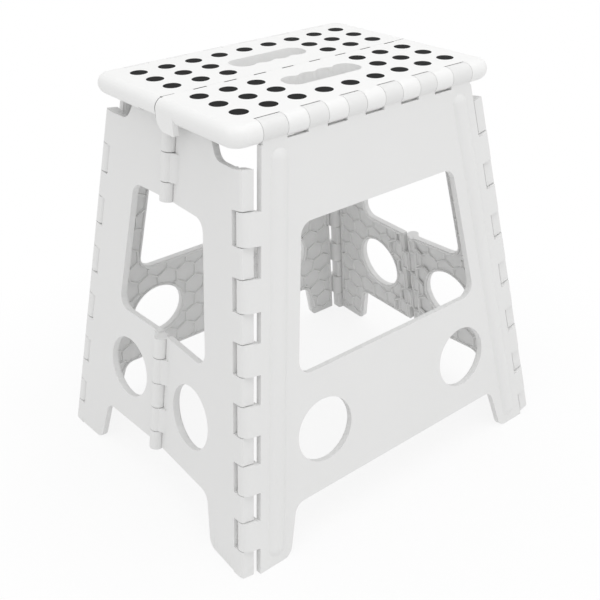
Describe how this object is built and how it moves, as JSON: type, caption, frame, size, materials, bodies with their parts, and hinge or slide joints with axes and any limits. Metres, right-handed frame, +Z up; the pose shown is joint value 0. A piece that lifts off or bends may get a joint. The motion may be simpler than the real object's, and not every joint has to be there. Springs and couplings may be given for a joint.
{
  "type": "folding step stool",
  "caption": "Folding plastic step stool with a dotted seat in hinged halves, splayed leg panels and ends that fold inward flat",
  "frame": {"origin": "on the floor under the centre of the seat", "axes": "+Z up, +X along the seat's long side, -Y towards the front leg panel"},
  "size_m": [0.3954, 0.3252, 0.39],
  "materials": {
    "panel_plastic": "satin moulded polypropylene, off-white",
    "seat_plastic": "satin moulded polypropylene, off-white",
    "grip_black": "matt black grip discs",
    "pin_steel": "plain steel pin"
  },
  "bodies": {
    "front_leg": {"front_leg_panel": "panel_plastic", "front_left_corner_pin": "pin_steel", "front_right_corner_pin": "pin_steel", "front_seat_pin": "pin_steel"},
    "rear_leg": {"rear_leg_panel": "panel_plastic", "rear_left_corner_pin": "pin_steel", "rear_right_corner_pin": "pin_steel", "rear_seat_pin": "pin_steel"},
    "left_end_front": {"left_end_front_panel": "panel_plastic"},
    "left_end_rear": {"left_end_rear_panel": "panel_plastic", "left_lower_end_pin": "pin_steel", "left_upper_end_pin": "pin_steel"},
    "right_end_front": {"right_end_front_panel": "panel_plastic", "right_lower_end_pin": "pin_steel", "right_upper_end_pin": "pin_steel"},
    "right_end_rear": {"right_end_rear_panel": "panel_plastic"},
    "front_seat": {"front_seat_panel": "seat_plastic", "front_grip_dots": "grip_black", "seat_center_pin": "pin_steel"},
    "rear_seat": {"rear_seat_panel": "seat_plastic", "rear_grip_dots": "grip_black"}
  },
  "joints": [
    {"name": "fold", "type": "hinge", "parent": "front_leg", "child": "left_end_front", "pos_m": [-0.18979, -0.15381, 0], "axis": [-0.162, -0.143, -0.9764], "range_deg": [0, 88.5]},
    {"name": "left_end_middle", "type": "hinge", "parent": "left_end_front", "child": "left_end_rear", "pos_m": [-0.19273, 0, 0], "axis": [0.1566, 0, 0.9877], "range_deg": [0, 174.34]},
    {"name": "left_rear_corner", "type": "hinge", "parent": "left_end_rear", "child": "rear_leg", "pos_m": [-0.18979, 0.15381, 0], "axis": [-0.162, 0.143, -0.9764], "range_deg": [0, 88.5]},
    {"name": "right_front_corner", "type": "hinge", "parent": "front_leg", "child": "right_end_front", "pos_m": [0.18979, -0.15381, 0], "axis": [-0.162, 0.143, 0.9764], "range_deg": [0, 88.5]},
    {"name": "right_rear_corner", "type": "hinge", "parent": "rear_leg", "child": "right_end_rear", "pos_m": [0.18979, 0.15381, 0], "axis": [0.162, 0.143, -0.9764], "range_deg": [0, 88.5]},
    {"name": "front_seat_hinge", "type": "hinge", "parent": "front_leg", "child": "front_seat", "pos_m": [0, -0.1, 0.3805], "axis": [1, 0, 0], "range_deg": [0, 81.67]},
    {"name": "rear_seat_hinge", "type": "hinge", "parent": "rear_leg", "child": "rear_seat", "pos_m": [0, 0.1, 0.3805], "axis": [-1, 0, 0], "range_deg": [0, 81.67]}
  ],
  "couplings": [
    {"joint": "left_end_middle", "follows": "fold", "ratio": 1.97},
    {"joint": "left_rear_corner", "follows": "fold", "ratio": 1},
    {"joint": "right_front_corner", "follows": "fold", "ratio": 1},
    {"joint": "right_rear_corner", "follows": "fold", "ratio": 1},
    {"joint": "front_seat_hinge", "follows": "fold", "ratio": 0.92282},
    {"joint": "rear_seat_hinge", "follows": "fold", "ratio": 0.92282}
  ]
}
